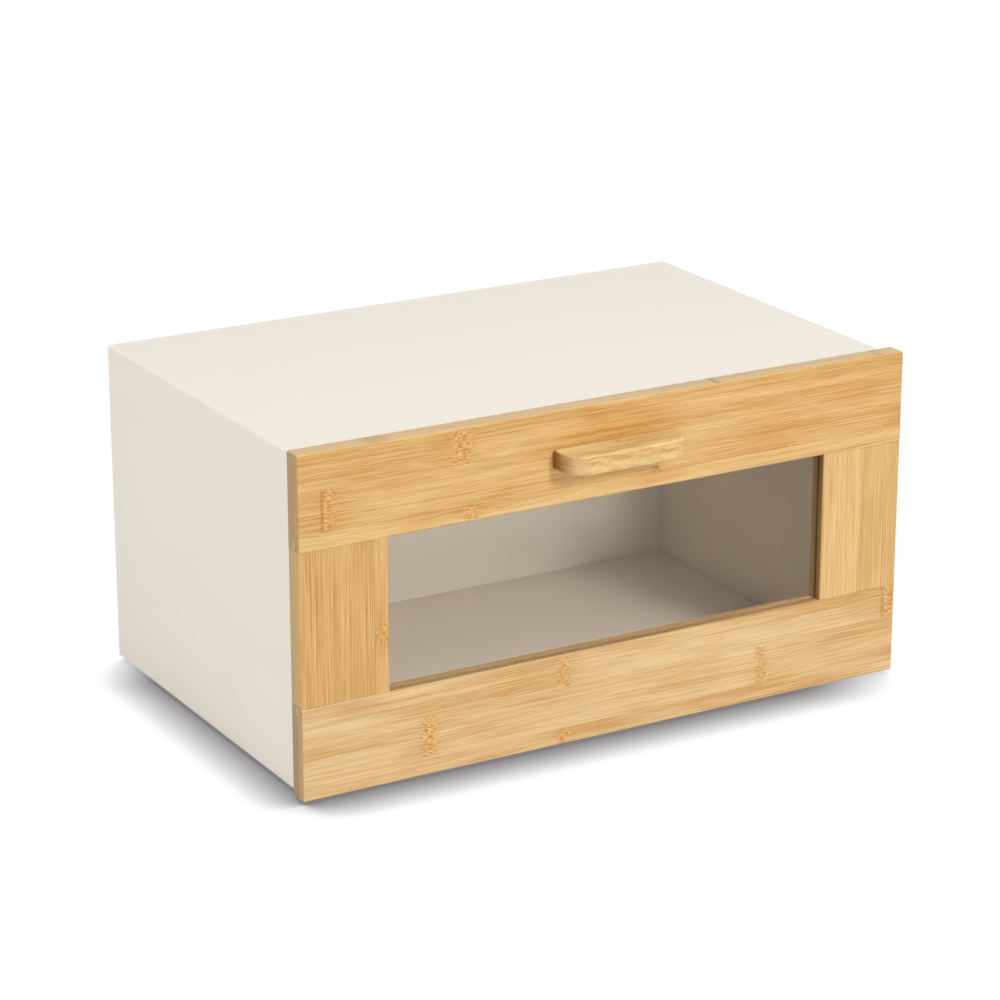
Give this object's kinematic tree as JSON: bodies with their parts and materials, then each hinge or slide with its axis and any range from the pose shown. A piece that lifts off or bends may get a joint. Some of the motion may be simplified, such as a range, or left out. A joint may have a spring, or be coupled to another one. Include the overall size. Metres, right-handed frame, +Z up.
{
  "type": "bread box with drawer",
  "caption": "Rectangular painted bread box, closed by a sliding drawer whose overlapping bamboo front frames a clear pane and carries a bar handle.",
  "frame": {"origin": "on the table, under the middle of the whole box's width and depth", "axes": "+Z up, +X to the right as seen from the front, the front and its handle face -Y"},
  "size_m": [0.4, 0.278, 0.203],
  "materials": {
    "cream_paint": "fibreboard under a satin cream paint",
    "bamboo": "strip-laminated bamboo, clear satin lacquer",
    "clear_pane": "clear, polished",
    "plain_wood": "unfinished",
    "screw_steel": "zinc plated",
    "pad_rubber": "matt"
  },
  "bodies": {
    "casing": {"casing_top": "cream_paint", "casing_bottom": "cream_paint", "casing_left_side": "cream_paint", "casing_right_side": "cream_paint", "casing_back": "cream_paint", "corner_splines": "plain_wood", "foot_pads": "pad_rubber"},
    "drawer": {"drawer_left_side": "cream_paint", "drawer_right_side": "cream_paint", "drawer_back": "cream_paint", "drawer_bottom": "cream_paint", "front_top_rail": "bamboo", "front_bottom_rail": "bamboo", "front_left_stile": "bamboo", "front_right_stile": "bamboo", "window_pane": "clear_pane", "handle": "bamboo", "handle_screws": "screw_steel", "front_dowels": "plain_wood", "side_screws": "screw_steel", "bottom_screws": "screw_steel"}
  },
  "joints": [
    {"name": "drawer_slide", "type": "slide", "parent": "casing", "child": "drawer", "axis": [0, -1, 0], "range_m": [0, 0.17]}
  ]
}
